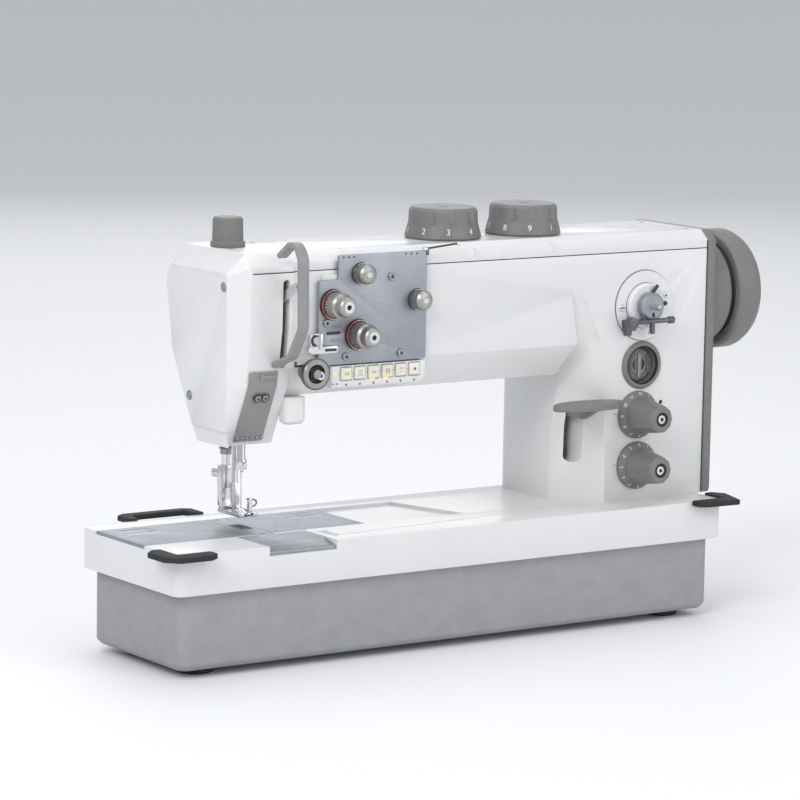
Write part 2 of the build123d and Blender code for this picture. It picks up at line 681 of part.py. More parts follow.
# ---------------------------------------------------------------- hook and bobbin
hook_x = 101
hook_radius = 19.6
hook_top = -18
hook_height = 24
with BuildPart() as gearbox:
    block(level(-96), (78, 72), (126, 120), 46, corner=6)
    block(level(-92), (84, 78), (120, 114), 35, corner=4, mode=Mode.SUBTRACT)
    post(level(-60), 6 + running, 20, ((hook_x, drive_y),), mode=Mode.SUBTRACT)
    post(side(100, drive_y, lower_shaft_z), 7 + running, 40, mode=Mode.SUBTRACT)
    # Two ears carry the box up to the bed
    for y in (72, 114):
        block(level(-50), (112, y), (126, y + 6), 50 - bed_top)
finish(gearbox, "hook_gearbox")

with BuildPart() as hook:
    turned(level(hook_top - hook_height, hook_x, drive_y),
           ((0, 0), (14, 0), (hook_radius, 4), (hook_radius, hook_height), (17.6, hook_height),
            (17.6, 4), (0, 4)))
    post(level(hook_top - hook_height, hook_x, drive_y), 6, -21)
    turned(level(-61.4, hook_x, drive_y), ((0, 0), (6, 0), (9, 2.4), (9, 4.4), (0, 4.4)))
    block(level(hook_top - 9, hook_x, drive_y), (8, 8), (30, 30), 20, mode=Mode.SUBTRACT)
finish(hook, "hook")

with BuildPart() as bobbin_case:
    turned(level(hook_top - hook_height + 4 + gap, hook_x, drive_y),
           ((0, 0), (17.3, 0), (17.3, 21.5), (15.4, 21.5), (15.4, 1.5), (3, 1.5), (3, 19), (0, 19)))
    block(level(hook_top - 4), (hook_x - 17, drive_y - 2), (hook_x - 15.5, drive_y + 2), 5.5)
finish(bobbin_case, "bobbin_case")

with BuildPart() as bobbin:
    turned(level(hook_top - hook_height + 6.2, hook_x, drive_y),
           ((3 + running, 0), (14.8, 0), (14.8, 1), (5, 1), (5, 16.5), (14.8, 16.5), (14.8, 17.5),
            (3 + running, 17.5)))
finish(bobbin, "bobbin")

# ---------------------------------------------------------------- needle, feet and take-up lever
bar_radius = 3.6
foot_bar_y = 106
foot_bar_radius = 3
presser_radius = 3.8
sole_z = 11

with BuildPart() as frame:
    block(level(100), (104, 88), (112, 110.5), 120, corner=3)
    post(side(104, needle_y, frame_pivot_z), 10, 13)
    for z in (100, 196):
        block(level(z), (110, 88), (128, 110.5), 12, corner=3)
    post(level(80), bar_radius + running, 130, ((needle_x, needle_y),), mode=Mode.SUBTRACT)
    post(level(80), foot_bar_radius + running, 130, ((needle_x, foot_bar_y),), mode=Mode.SUBTRACT)
    post(side(90, needle_y, frame_pivot_z), pivot_radius + running, 50, mode=Mode.SUBTRACT)
finish(frame, "needle_bar_frame")

with BuildPart() as needle_bar:
    post(level(52, needle_x, needle_y), bar_radius, 158)
    post(level(52, needle_x, needle_y), 5, 9)
    post(front(needle_y - 4.6, needle_x, 56.5), 2, 3)
    post(level(50, needle_x, needle_y), 1, 16, mode=Mode.SUBTRACT)
finish(needle_bar, "needle_bar")

with BuildPart() as needle:
    turned(level(16, needle_x, needle_y), ((0, 0), (0.75, 4), (0.75, 28), (0.97, 30), (0.97, 49),
                                           (0, 49)))
finish(needle, "needle")

with BuildPart() as inner_foot:
    post(level(30, needle_x, foot_bar_y), foot_bar_radius, 182)
    slab(side(needle_x - 2.8), ((foot_bar_y + 3.4, 38), (foot_bar_y - 3.4, 38), (101.5, 24),
                                (101.5, sole_z + 4), (84, sole_z + 3), (82, sole_z + 2),
                                (84, sole_z), (104, sole_z), (105, sole_z + 4),
                                (foot_bar_y + 3.4, 30)), 5.6)
    post(level(sole_z - 1), 2.2, 8, ((needle_x, needle_y),), mode=Mode.SUBTRACT)
finish(inner_foot, "inner_foot")

with BuildPart() as presser_bar:
    post(level(26, needle_x, presser_y), presser_radius, 190)
    chamfer(presser_bar.edges().filter_by(GeomType.CIRCLE), 0.8)
finish(presser_bar, "presser_bar")

toe_gap = 4
with BuildPart() as presser_foot:
    block(level(32, needle_x, presser_y), (-6, -5.5), (6, 6), 20, corner=3)
    slab(side(needle_x - 6), ((116.5, 40), (126, 40), (124, sole_z + 6), (119, sole_z),
                              (113.6, sole_z), (113.6, sole_z + 5), (116.5, sole_z + 10)), 12)
    for low, high in ((-9.4, -toe_gap), (toe_gap, 9.4)):
        block(level(sole_z, needle_x), (low, 80), (high, 120), 3.4, corner=2)
    post(level(20), presser_radius, 40, ((needle_x, presser_y),), mode=Mode.SUBTRACT)
    with BuildSketch(Plane(origin=side(needle_x, presser_y + 5.5, 44).origin, x_dir=(1, 0, 0),
                           z_dir=(-0.5, 0.866, 0))) as screw:
        Circle(4.2)
    extrude(screw.sketch, amount=9)
finish(presser_foot, "presser_foot")

lever_tip = 44
lever_rise = 20
with BuildPart() as take_up:
    plane = side(take_up_x - 1.7, *lever_pivot)
    with BuildSketch(plane) as arm_outline_flat:
        Circle(7.5)
        with BuildLine():
            Polyline((-4, 7), (-lever_tip, lever_rise + 3.5), (-lever_tip - 4, lever_rise - 1),
                     (-lever_tip, lever_rise - 4.5), (-6, -5), (-4, 7))
        make_face()
        with Locations((-lever_tip, lever_rise - 0.5)):
            Circle(1.6, mode=Mode.SUBTRACT)
        Circle(pivot_radius + running, mode=Mode.SUBTRACT)
    extrude(arm_outline_flat.sketch, amount=3.4)
finish(take_up, "take_up_lever")

lift_pin = (112, 152)
with BuildPart() as lift:
    post(front(168, *lift_pin), 8, 14.5)
    slab(front(168), ((112, 144), (112, 160), (164, 136), (176, 132), (174, 124), (162, 126)), 6,
         corner=2)
finish(lift, "lift_lever")
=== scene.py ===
import json
import math
import bpy
import bmesh
from mathutils import Matrix, Vector


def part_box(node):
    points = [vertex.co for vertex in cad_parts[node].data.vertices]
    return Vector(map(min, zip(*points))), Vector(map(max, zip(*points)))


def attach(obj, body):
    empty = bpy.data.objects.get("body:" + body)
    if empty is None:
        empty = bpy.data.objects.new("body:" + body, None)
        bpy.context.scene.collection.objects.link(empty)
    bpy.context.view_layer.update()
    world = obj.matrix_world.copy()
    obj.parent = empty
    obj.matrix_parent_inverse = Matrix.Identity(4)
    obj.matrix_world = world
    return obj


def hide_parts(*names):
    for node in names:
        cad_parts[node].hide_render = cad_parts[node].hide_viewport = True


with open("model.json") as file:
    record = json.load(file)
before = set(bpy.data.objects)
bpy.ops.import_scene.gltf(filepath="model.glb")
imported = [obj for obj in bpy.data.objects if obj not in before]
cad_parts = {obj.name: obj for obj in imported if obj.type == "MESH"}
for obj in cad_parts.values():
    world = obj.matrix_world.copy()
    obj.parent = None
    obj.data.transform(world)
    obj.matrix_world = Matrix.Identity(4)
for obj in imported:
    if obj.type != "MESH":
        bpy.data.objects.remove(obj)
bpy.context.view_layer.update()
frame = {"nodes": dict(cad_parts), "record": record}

scene = bpy.context.scene
nodes = frame["nodes"]
mm = 0.001

# every place below is in millimetres from the bed's front left top corner
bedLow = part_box("bed_casting")[0]
bedCorner = Vector((bedLow.x, bedLow.y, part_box("left_slide_plate")[1].z))
left = Vector((-1, 0, 0))
front = Vector((0, -1, 0))
up = Vector((0, 0, 1))


def at(x, y, z):
    return bedCorner + Vector((x, y, z)) * mm


# camera, lamps and world
cameraView = {"turn": -34.430, "rise": 8.332, "roll": 0.993, "lens": 174.32, "distance": 3.4978,
              "aim": (279, 82.8, 120.9), "right": -3.095, "up": -16.076}


def makeCamera(view):
    turn, rise, roll = (math.radians(view[key]) for key in ("turn", "rise", "roll"))
    back = Vector((math.sin(turn) * math.cos(rise), -math.cos(turn) * math.cos(rise), math.sin(rise)))
    right = Vector((-back.y, back.x, 0)).normalized()
    above = back.cross(right)
    tilted = right * math.cos(roll) + above * math.sin(roll)
    upright = above * math.cos(roll) - right * math.sin(roll)
    place = at(*view["aim"]) + back * view["distance"]
    place += (tilted * -view["right"] + upright * view["up"]) * mm
    camera = bpy.data.cameras.new("camera")
    camera.lens = view["lens"]
    camera.sensor_width = 36
    camera.clip_end = 100
    holder = bpy.data.objects.new("camera", camera)
    holder.matrix_world = Matrix((
        (tilted.x, upright.x, back.x, place.x), (tilted.y, upright.y, back.y, place.y),
        (tilted.z, upright.z, back.z, place.z), (0, 0, 0, 1)))
    scene.collection.objects.link(holder)
    scene.camera = holder


makeCamera(cameraView)

lamps = {
    "keyLamp": {"place": (-2.6, -1.5, 2.3), "size": 1.8, "power": 58},
    "frontLamp": {"place": (1.2, -3.2, 1.5), "size": 2.6, "power": 34},
    "topLamp": {"place": (0.2, 0.5, 2.8), "size": 2.4, "power": 26},
    "rearLamp": {"place": (1.6, 3.0, 1.9), "size": 2.0, "power": 16},
}
for name, look in lamps.items():
    lamp = bpy.data.lights.new(name, "AREA")
    lamp.size = look["size"]
    lamp.energy = look["power"]
    holder = bpy.data.objects.new(name, lamp)
    holder.location = look["place"]
    holder.rotation_euler = (Vector((0, 0, 0.2)) - Vector(look["place"])).to_track_quat("-Z", "Y").to_euler()
    scene.collection.objects.link(holder)

worldLook = {"colour": (0.92, 0.95, 1.0), "strength": 0.60}
world = bpy.data.worlds.new("studio")
world.use_nodes = True
world.node_tree.nodes["Background"].inputs[0].default_value = (*worldLook["colour"], 1)
world.node_tree.nodes["Background"].inputs[1].default_value = worldLook["strength"]
scene.world = world
scene.view_settings.view_transform = "Standard"
print("camera and lamps are in")


# shared parts of the materials
def newMaterial(name, colour, roughness, metallic=0.0, coat=0.0):
    material = bpy.data.materials.new(name)
    material.use_nodes = True
    tree = material.node_tree
    shader = tree.nodes["Principled BSDF"]
    shader.inputs["Base Color"].default_value = (*colour, 1)
    shader.inputs["Roughness"].default_value = roughness
    shader.inputs["Metallic"].default_value = metallic
    shader.inputs["Coat Weight"].default_value = coat
    shader.inputs["Coat Roughness"].default_value = 0.12
    return material, tree, shader


def objectCoords(tree, scale=(1, 1, 1)):
    coords = tree.nodes.new("ShaderNodeTexCoord")
    mapping = tree.nodes.new("ShaderNodeMapping")
    mapping.inputs["Scale"].default_value = scale
    tree.links.new(coords.outputs["Object"], mapping.inputs["Vector"])
    return mapping.outputs["Vector"]


def noise(tree, vector, scale, detail=3.0, roughness=0.55):
    node = tree.nodes.new("ShaderNodeTexNoise")
    node.inputs["Scale"].default_value = scale
    node.inputs["Detail"].default_value = detail
    node.inputs["Roughness"].default_value = roughness
    tree.links.new(vector, node.inputs["Vector"])
    return node.outputs["Fac"]


def remap(tree, value, low, high, start=0.25, stop=0.75):
    node = tree.nodes.new("ShaderNodeMapRange")
    node.inputs["From Min"].default_value = start
    node.inputs["From Max"].default_value = stop
    node.inputs["To Min"].default_value = low
    node.inputs["To Max"].default_value = high
    tree.links.new(value, node.inputs["Value"])
    return node.outputs["Result"]


def tint(tree, shader, value, first, second):
    node = tree.nodes.new("ShaderNodeMix")
    node.data_type = "RGBA"
    node.inputs[6].default_value = (*first, 1)
    node.inputs[7].default_value = (*second, 1)
    tree.links.new(value, node.inputs[0])
    tree.links.new(node.outputs[2], shader.inputs["Base Color"])


def bump(tree, shader, value, strength, distance):
    node = tree.nodes.new("ShaderNodeBump")
    node.inputs["Strength"].default_value = strength
    node.inputs["Distance"].default_value = distance
    tree.links.new(value, node.inputs["Height"])
    tree.links.new(node.outputs["Normal"], shader.inputs["Normal"])


def shade(colour, factor):
    return tuple(min(1.0, part * factor) for part in colour)


# sprayed enamel: orange peel, slow changes of tone and gloss, a little grime in the tone
def enamel(name, colour, roughness, peel, coat=0.35):
    material, tree, shader = newMaterial(name, colour, roughness, coat=coat)
    vector = objectCoords(tree)
    tint(tree, shader, remap(tree, noise(tree, vector, 9), 0, 1), shade(colour, 0.96), shade(colour, 1.02))
    tree.links.new(remap(tree, noise(tree, vector, 40), roughness - 0.05, roughness + 0.07),
                   shader.inputs["Roughness"])
    bump(tree, shader, noise(tree, vector, 420, 2), peel, 0.0002)
    return material


# moulded plastic with a fine spark-eroded grain
def moulding(name, colour, roughness, grain, coarse=2400):
    material, tree, shader = newMaterial(name, colour, roughness)
    vector = objectCoords(tree)
    tint(tree, shader, remap(tree, noise(tree, vector, 70), 0, 1), shade(colour, 0.92), shade(colour, 1.06))
    tree.links.new(remap(tree, noise(tree, vector, 160), roughness - 0.06, roughness + 0.08),
                   shader.inputs["Roughness"])
    bump(tree, shader, noise(tree, vector, coarse, 2), grain, 0.0002)
    return material


# metal ground in one direction, with long fine scratches in gloss and height
def brushed(name, colour, roughness, stretch, groove=0.12):
    material, tree, shader = newMaterial(name, colour, roughness, metallic=1.0)
    lines = noise(tree, objectCoords(tree, stretch), 1.0, 4, 0.7)
    cloud = noise(tree, objectCoords(tree), 35)
    tint(tree, shader, remap(tree, cloud, 0, 1), shade(colour, 0.88), shade(colour, 1.1))
    tree.links.new(remap(tree, lines, roughness - 0.1, roughness + 0.12), shader.inputs["Roughness"])
    bump(tree, shader, lines, groove, 0.0001)
    return material


# plated metal with a faint haze of handling marks
def polished(name, colour, roughness):
    material, tree, shader = newMaterial(name, colour, roughness, metallic=1.0)
    vector = objectCoords(tree)
    tree.links.new(remap(tree, noise(tree, vector, 220, 5), roughness * 0.6, roughness * 1.6),
                   shader.inputs["Roughness"])
    tint(tree, shader, remap(tree, noise(tree, vector, 60), 0, 1), shade(colour, 0.9), colour)
    return material


def glow(name, colour, strength):
    material, tree, shader = newMaterial(name, colour, 0.35)
    shader.inputs["Emission Color"].default_value = (*colour, 1)
    shader.inputs["Emission Strength"].default_value = strength
    tree.links.new(remap(tree, noise(tree, objectCoords(tree), 500), 0.28, 0.42),
                   shader.inputs["Roughness"])
    return material


def windowGlass(name, colour, alpha):
    material, tree, shader = newMaterial(name, colour, 0.05)
    shader.inputs["Alpha"].default_value = alpha
    tree.links.new(remap(tree, noise(tree, objectCoords(tree), 90), 0.03, 0.09),
                   shader.inputs["Roughness"])
    return material


white = (0.70, 0.705, 0.70)
grey = (0.178, 0.174, 0.167)
paint = {
    "body_paint": enamel("bodyEnamel", white, 0.34, 0.10),
    "cover_paint": enamel("coverEnamel", shade(white, 1.02), 0.30, 0.06),
    "grey_plastic": moulding("greyPlastic", grey, 0.44, 0.25),
    "knob_metal": brushed("turnedAlloy", (0.42, 0.41, 0.38), 0.40, (400, 30, 400), 0.08),
    "plate_steel": brushed("groundSteel", (0.36, 0.375, 0.41), 0.46, (14, 900, 900), 0.10),
    "bright_steel": polished("brightSteel", (0.74, 0.74, 0.75), 0.16),
    "dark_steel": brushed("darkSteel", (0.16, 0.16, 0.165), 0.34, (500, 60, 500), 0.08),
    "guard_metal": enamel("guardEnamel", (0.25, 0.25, 0.247), 0.40, 0.12, 0.2),
    "button_plastic": moulding("creamPlastic", (0.76, 0.72, 0.60), 0.34, 0.06),
    "cushion_rubber": moulding("blackRubber", (0.018, 0.018, 0.02), 0.72, 0.5, 900),
    "pan_plastic": moulding("panPlastic", (0.30, 0.305, 0.31), 0.5, 0.3, 1500),
    "belt_rubber": moulding("beltRubber", (0.02, 0.02, 0.02), 0.7, 0.4, 1200),
    "bearing_metal": brushed("bearingMetal", (0.34, 0.335, 0.32), 0.36, (40, 300, 300)),
    "bobbin_alloy": brushed("bobbinAlloy", (0.62, 0.63, 0.65), 0.30, (300, 300, 20)),
    "sight_glass": windowGlass("sightGlass", (0.30, 0.33, 0.33), 0.05),
}
felt = moulding("redFelt", (0.17, 0.035, 0.03), 0.95, 0.9, 1400)
black = moulding("matteBlack", (0.006, 0.006, 0.006), 0.6, 0.1)
chalk = moulding("whiteMark", (0.80, 0.80, 0.78), 0.5, 0.05)
# near-black used for printed ticks and a dark wire and lever, and as painted shade in seams, holes and
# recesses
shadeAndDarkPaint = moulding("shadeAndDarkMark", (0.035, 0.035, 0.037), 0.5, 0.05)
slate = moulding("slateMark", (0.13, 0.13, 0.135), 0.5, 0.05)
amber = glow("amberGlow", (0.95, 0.62, 0.08), 0.6)

slotOf = {part["node"]: part["material_slot"] for part in frame["record"]["subparts"]}
bodyOf = {node: body for body, members in frame["record"]["behaviour"]["bodies"].items()
          for node in members}
for name, holder in nodes.items():
    holder.data.materials.clear()
    holder.data.materials.append(paint[slotOf[name]])
print("materials are in")


# helpers for the pieces
def makePiece(name, shape, material, node, bevel=0.0, steps=2, angle=32):
    bmesh.ops.recalc_face_normals(shape, faces=shape.faces)
    mesh = bpy.data.meshes.new(name)
    shape.to_mesh(mesh)
    shape.free()
    mesh.materials.append(material)
    for face in mesh.polygons:
        face.use_smooth = True
    piece = bpy.data.objects.new(name, mesh)
    scene.collection.objects.link(piece)
    if bevel:
        edge = piece.modifiers.new("edges", "BEVEL")
        edge.width = bevel * mm
        edge.segments = steps
        edge.limit_method = "ANGLE"
        edge.angle_limit = math.radians(angle)
        edge.harden_normals = True
        edge.use_clamp_overlap = True
    else:
        mesh.set_sharp_from_angle(angle=math.radians(angle))
    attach(piece, bodyOf[node])
    return piece


# a copy of a node with its flats merged and its edges rounded, which stands for the node
def rounded(node, width, soften=None):
    shape = bmesh.new()
    shape.from_mesh(nodes[node].data)
    bmesh.ops.remove_doubles(shape, verts=shape.verts, dist=2e-6)
    bmesh.ops.dissolve_limit(shape, angle_limit=math.radians(0.6), verts=shape.verts,
                             edges=shape.edges, use_dissolve_boundaries=False)
    if soften:
        low, high = at(*soften["low"]), at(*soften["high"])
        inside = [edge for edge in shape.edges if edge.calc_length() > soften["shortest"] * mm
                  and edge.calc_face_angle(0) > math.radians(12)
                  and all(low[axis] <= vert.co[axis] <= high[axis]
                          for vert in edge.verts for axis in range(3))]
        bmesh.ops.bevel(shape, geom=inside, offset=soften["radius"] * mm, offset_type="OFFSET",
                        segments=5, profile=0.5, affect="EDGES", clamp_overlap=True, material=-1)
    piece = makePiece(node + "_finished", shape, paint[slotOf[node]], node, bevel=width, steps=3, angle=24)
    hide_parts(node)
    return piece


# a matrix whose local z runs along direction from place
def axisFrame(place, direction):
    return Matrix.Translation(place) @ Vector(direction).to_track_quat("Z", "Y").to_matrix().to_4x4()


# a profile of radius and height, spun about an axis
def turn(shape, profile, place, direction, steps=48):
    here = axisFrame(place, direction)
    points = [shape.verts.new(here @ Vector((radius * mm, 0, height * mm))) for radius, height in profile]
    edges = [shape.edges.new(pair) for pair in zip(points, points[1:])]
    bmesh.ops.spin(shape, geom=points + edges, cent=place, axis=here.to_3x3() @ up, angle=math.tau,
                   steps=steps, use_merge=True, use_duplicate=False)
    bmesh.ops.remove_doubles(shape, verts=shape.verts, dist=1e-6)


def ring(shape, place, direction, inner, outer, height, steps=48):
    turn(shape, ((inner, 0), (outer, 0), (outer, height), (inner, height), (inner, 0)), place,
         direction, steps)


def stud(shape, place, direction, radius, height, top=None, steps=24):
    here = axisFrame(place + Vector(direction).normalized() * height * mm / 2, direction)
    bmesh.ops.create_cone(shape, cap_ends=True, segments=steps, radius1=radius * mm,
                          radius2=(radius if top is None else top) * mm, depth=height * mm, matrix=here)


def bar(shape, low, high):
    low, high = at(*low), at(*high)
    size = high - low
    bmesh.ops.create_cube(shape, size=1, matrix=Matrix.Translation((low + high) / 2)
                          @ Matrix.Diagonal((size.x, size.y, size.z, 1)))


# a slotted or socketed screw head standing on a surface, with a thin dark flat on top that is painted shade
# for its slot or socket
def screwHead(heads, recesses, place, direction, radius, height, slot=False):
    stud(heads, place, direction, radius, height, radius * 0.86)
    top = place + Vector(direction).normalized() * (height + 0.05) * mm
    if slot:
        size = Matrix.Diagonal((radius * 1.5 * mm, radius * 0.3 * mm, 0.1 * mm, 1))
        bmesh.ops.create_cube(recesses, size=1, matrix=axisFrame(top, direction) @ size)
    else:
        stud(recesses, top, direction, radius * 0.42, 0.1, steps=6)


def wire(name, points, radius, material, node, cyclic=False):
    curve = bpy.data.curves.new(name, "CURVE")
    curve.dimensions = "3D"
    curve.bevel_depth = radius * mm
    curve.bevel_resolution = 3
    curve.use_fill_caps = True
    spline = curve.splines.new("NURBS")
    spline.points.add(len(points) - 1)
    for point, place in zip(spline.points, points):
        point.co = (*at(*place), 1)
    spline.order_u = 3
    spline.use_endpoint_u = not cyclic
    spline.use_cyclic_u = cyclic
    spline.resolution_u = 8
    holder = bpy.data.objects.new(name, curve)
    scene.collection.objects.link(holder)
    mesh = bpy.data.meshes.new_from_object(holder)
    bpy.data.objects.remove(holder)
    shape = bmesh.new()
    shape.from_mesh(mesh)
    bmesh.ops.remove_doubles(shape, verts=shape.verts, dist=1e-6)
    return makePiece(name, shape, material, node)


def coil(name, x, y, low, high, radius, thick, turns, material, node):
    count = turns * 10
    points = [(x + radius * math.cos(math.tau * step / 10), y + radius * math.sin(math.tau * step / 10),
               low + (high - low) * step / count) for step in range(count + 1)]
    return wire(name, points, thick, material, node)


# a number, centred on place and facing outwards, added to a shape as thin raised print
def number(shape, text, size, place, across, above):
    curve = bpy.data.curves.new("number", "FONT")
    curve.body = text
    curve.size = size * mm
    curve.extrude = 0.06 * mm
    curve.align_x = "CENTER"
    curve.align_y = "CENTER"
    holder = bpy.data.objects.new("number", curve)
    scene.collection.objects.link(holder)
    bpy.context.view_layer.update()
    mesh = bpy.data.meshes.new_from_object(holder)
    bpy.data.objects.remove(holder)
    out = across.cross(above)
    mesh.transform(Matrix((
        (across.x, above.x, out.x, place.x), (across.y, above.y, out.y, place.y),
        (across.z, above.z, out.z, place.z), (0, 0, 0, 1))))
    shape.from_mesh(mesh)
    bmesh.ops.remove_doubles(shape, verts=shape.verts, dist=1e-6)
    bpy.data.meshes.remove(mesh)


# castings, covers and metal parts with rounded edges
edgeWidths = {
    "arm_top_cover": 1.6, "face_cover": 1.5, "bed_casting": 1.0, "oil_pan": 1.4,
    "end_cover": 1.4, "rubber_cushions": 2.0, "tension_plate": 0.5, "head_side_plate": 0.6,
    "sewing_light": 1.0, "take_up_guard": 1.0, "button_panel": 0.8, "needle_plate": 0.15,
    "left_slide_plate": 0.2, "right_slide_plate": 0.2, "front_bed_plate": 0.4,
    "reverse_lever": 0.5, "lift_lever": 1.2, "take_up_lever": 0.5, "presser_foot": 0.4,
    "inner_foot": 0.4, "thread_regulator": 0.4, "winder_lever": 0.4, "needle_bar": 0.3,
    "left_stroke_dial": 1.2, "right_stroke_dial": 1.2, "upper_stitch_dial": 0.8,
    "lower_stitch_dial": 0.8, "pressure_knob": 0.5, "handwheel": 1.2,
}
armSoft = {"low": (140, 38, 115), "high": (452, 64, 152), "shortest": 60, "radius": 9}
for node, width in edgeWidths.items():
    rounded(node, width)
rounded("arm_casting", 1.6, armSoft)
for index in range(1, 7):
    rounded(f"push_button_{index}", 0.5)
print("castings and covers are in")

# painted shade: dark strips set into the gaps where the covers meet the castings, standing for the shadow in
# the seams
seams = {"cover": 232.5, "half": 0.45, "deep": 2.2, "end": 600,
         "armFront": 39.93, "headFront": 36.9, "rear": 150.07}


def makeSeams():
    low, high = seams["cover"] - seams["half"], seams["cover"] + seams["half"]
    shape = bmesh.new()
    armFront, headFront = seams["armFront"], seams["headFront"]
    bar(shape, (138, armFront, low), (599, armFront + seams["deep"], high))
    bar(shape, (96, headFront, low), (138, headFront + seams["deep"], high))
    bar(shape, (138, 148, low), (450, seams["rear"], high))
    end = seams["end"]
    bar(shape, (end - 1.1, armFront, 1), (end - 0.1, 43, 240))
    makePiece("coverSeamShade", shape, shadeAndDarkPaint, "arm_casting")


makeSeams()

# tension plate: painted shade for the holes and screw sockets, printed ticks, felt, knob ends and screws
tension = {
    "face": 35, "mains": ((177.5, 202.3), (204.2, 174.3)), "smalls": ((206.5, 228.4), (267, 202.2)),
    "screws": ((239, 224), (171, 186), (191.6, 155.3), (250, 155.3)),
    "holes": (188, 193.5, 199, 254, 260, 266), "holeHeight": 243.2,
}
mainKnobs = ("upper_tension_knob", "lower_tension_knob")
smallKnobs = ("upper_pretension_knob", "right_pretension_knob")


def makeTensionTrim():
    face = tension["face"]
    rims, sockets = bmesh.new(), bmesh.new()
    for x, z in tension["mains"]:
        ring(rims, at(x, face, z), front, 12, 14, 0.8)
        ring(rims, at(x, face - 2.7, z), front, 11.6, 12.8, 1.0)
    for x, z in tension["smalls"]:
        ring(sockets, at(x, face, z), front, 6, 9.9, 0.8)
    makePiece("tensionFelts", rims, felt, "tension_plate")
    # the dark hexagons on the screws and the dark discs for the holes are painted shade
    for x, z in tension["screws"]:
        stud(sockets, at(x, face - 1.8, z), front, 1.7, 0.12, steps=6)
    for x in tension["holes"]:
        stud(sockets, at(x, face, tension["holeHeight"]), front, 0.9, 0.1, steps=12)
    bar(sockets, (171.5, face + 0.2, 175.9), (185.5, face + 0.6, 178.1))
    for step in range(7):
        bar(sockets, (177.4 + step * 1.4, face - 0.06, 181.4), (177.7 + step * 1.4, face, 184.6))
        bar(sockets, (175.4 + step * 1.4, face - 0.06, 168.8), (175.7 + step * 1.4, face, 172))
    makePiece("tensionTicksAndHoleShade", sockets, shadeAndDarkPaint, "tension_plate")
    for node, (x, z) in zip(mainKnobs, tension["mains"]):
        shape = bmesh.new()
        ring(shape, at(x, 9.6, z), front, 2.3, 5.2, 1.1)
        makePiece(node + "_collar", shape, paint["bright_steel"], node, bevel=0.3)
        # the black disc in each knob's end is painted shade in its socket
        shape = bmesh.new()
        stud(shape, at(x, 9.9, z), front, 2.35, 0.3, steps=6)
        makePiece(node + "_socket", shape, black, node)
    for node, (x, z) in zip(smallKnobs, tension["smalls"]):
        shape = bmesh.new()
        stud(shape, at(x, 20.4, z), front, 3.0, 0.7, 2.2)
        makePiece(node + "_tip", shape, paint["bright_steel"], node)


makeTensionTrim()

# the thread guide wire over the plate's top right corner, with two eyelets
threadGuide = {"ends": ((274, 35, 246.8), (309, 34, 250.2)), "wire": 0.9, "eye": 1.9}


def makeThreadGuide():
    low, high = threadGuide["ends"]
    between = [tuple(a + (b - a) * part for a, b in zip(low, high)) for part in (0, 0.3, 0.7, 1)]
    wire("threadGuideWire", between, threadGuide["wire"], shadeAndDarkPaint, "tension_plate")
    eyes = bmesh.new()
    for x, y, z in (low, high):
        stud(eyes, at(x - 1.6, y, z), -left, threadGuide["eye"], 4.2)
    makePiece("threadGuideEyes", eyes, paint["bright_steel"], "tension_plate", bevel=0.5)
    foot = bmesh.new()
    bar(foot, (276, 34, 241), (278.5, 37, 247))
    makePiece("threadGuideFoot", foot, paint["dark_steel"], "tension_plate", bevel=0.4)


makeThreadGuide()

# check spring unit: rim, painted shade in the well, stop block and screws
checkUnit = {"place": (152.5, 144), "face": 21, "regulator": (157.5, 172)}


def makeCheckUnit():
    x, z = checkUnit["place"]
    face = checkUnit["face"]
    shape = bmesh.new()
    ring(shape, at(x, face + 3.2, z), front, 13.2, 14.2, 2.6)
    makePiece("checkUnitRim", shape, paint["dark_steel"], "check_spring_housing")
    shape = bmesh.new()
    # the thin black disc inside the rim is painted shade in the well
    stud(shape, at(x, face + 2.9, z), front, 8.4, 0.2)
    bar(shape, (x - 6.5, face - 0.5, z - 6), (x - 0.5, face + 2, z + 6))
    makePiece("checkUnitWell", shape, black, "check_spring_housing")
    heads, recesses = bmesh.new(), bmesh.new()
    screwHead(heads, recesses, at(x + 3.8, face + 1.4, z - 1.6), front, 4.4, 2.6)
    x, z = checkUnit["regulator"]
    screwHead(heads, recesses, at(x, 30.4, z), front, 3.4, 1.4)
    makePiece("checkUnitScrews", heads, paint["bright_steel"], "check_spring_housing", bevel=0.3)
    # the dark screw sockets, the dark bar and the ring round the regulator screw are painted shade in their
    # recesses
    bar(recesses, (167, 30.45, 161.8), (179, 30.6, 164.2))
    ring(recesses, at(x, 30.7, z), front, 4.1, 5.2, 0.8)
    makePiece("checkUnitRecesses", recesses, shadeAndDarkPaint, "check_spring_housing")


makeCheckUnit()

# button panel: painted shadow round the buttons, thicker below and to the right, printed ticks, lights, dots
# and plain symbols
buttons = {"first": 191.6, "pitch": 14.5, "z": 140.4, "half": 5.9, "face": 34.5, "top": 32.5,
           "lit": (2, 3), "dot": 130.4}


